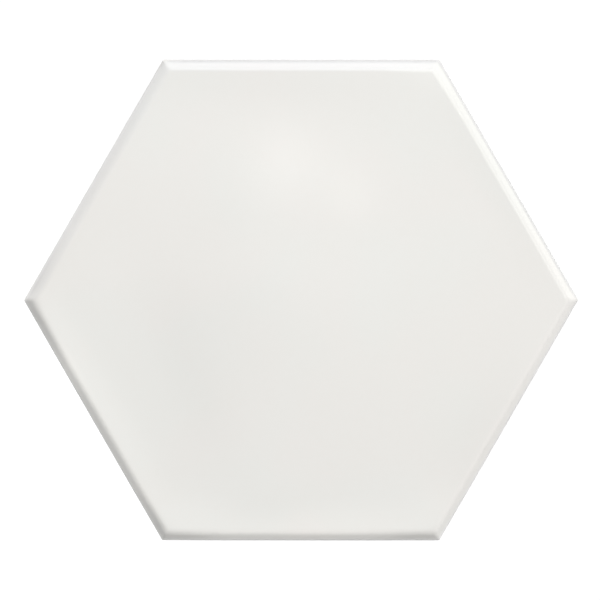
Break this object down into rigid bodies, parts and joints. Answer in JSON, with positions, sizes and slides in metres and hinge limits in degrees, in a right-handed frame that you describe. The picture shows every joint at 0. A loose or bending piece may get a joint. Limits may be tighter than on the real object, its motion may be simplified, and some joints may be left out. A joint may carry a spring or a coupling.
{
  "type": "hexagon floor tile",
  "caption": "Flat hexagonal ceramic floor tile with a glossy white glazed face, a softly cushioned edge all round and a keyed back that beds in adhesive.",
  "frame": {"origin": "centre of the back, on the plane that the tile beds on", "axes": "+Z out of the glazed face, +X towards a corner, +Y square to a side"},
  "size_m": [0.173, 0.15, 0.009],
  "materials": {
    "glazed_stoneware": "gloss"
  },
  "bodies": {
    "root": {"hexagon_tile": "glazed_stoneware"}
  },
  "joints": []
}
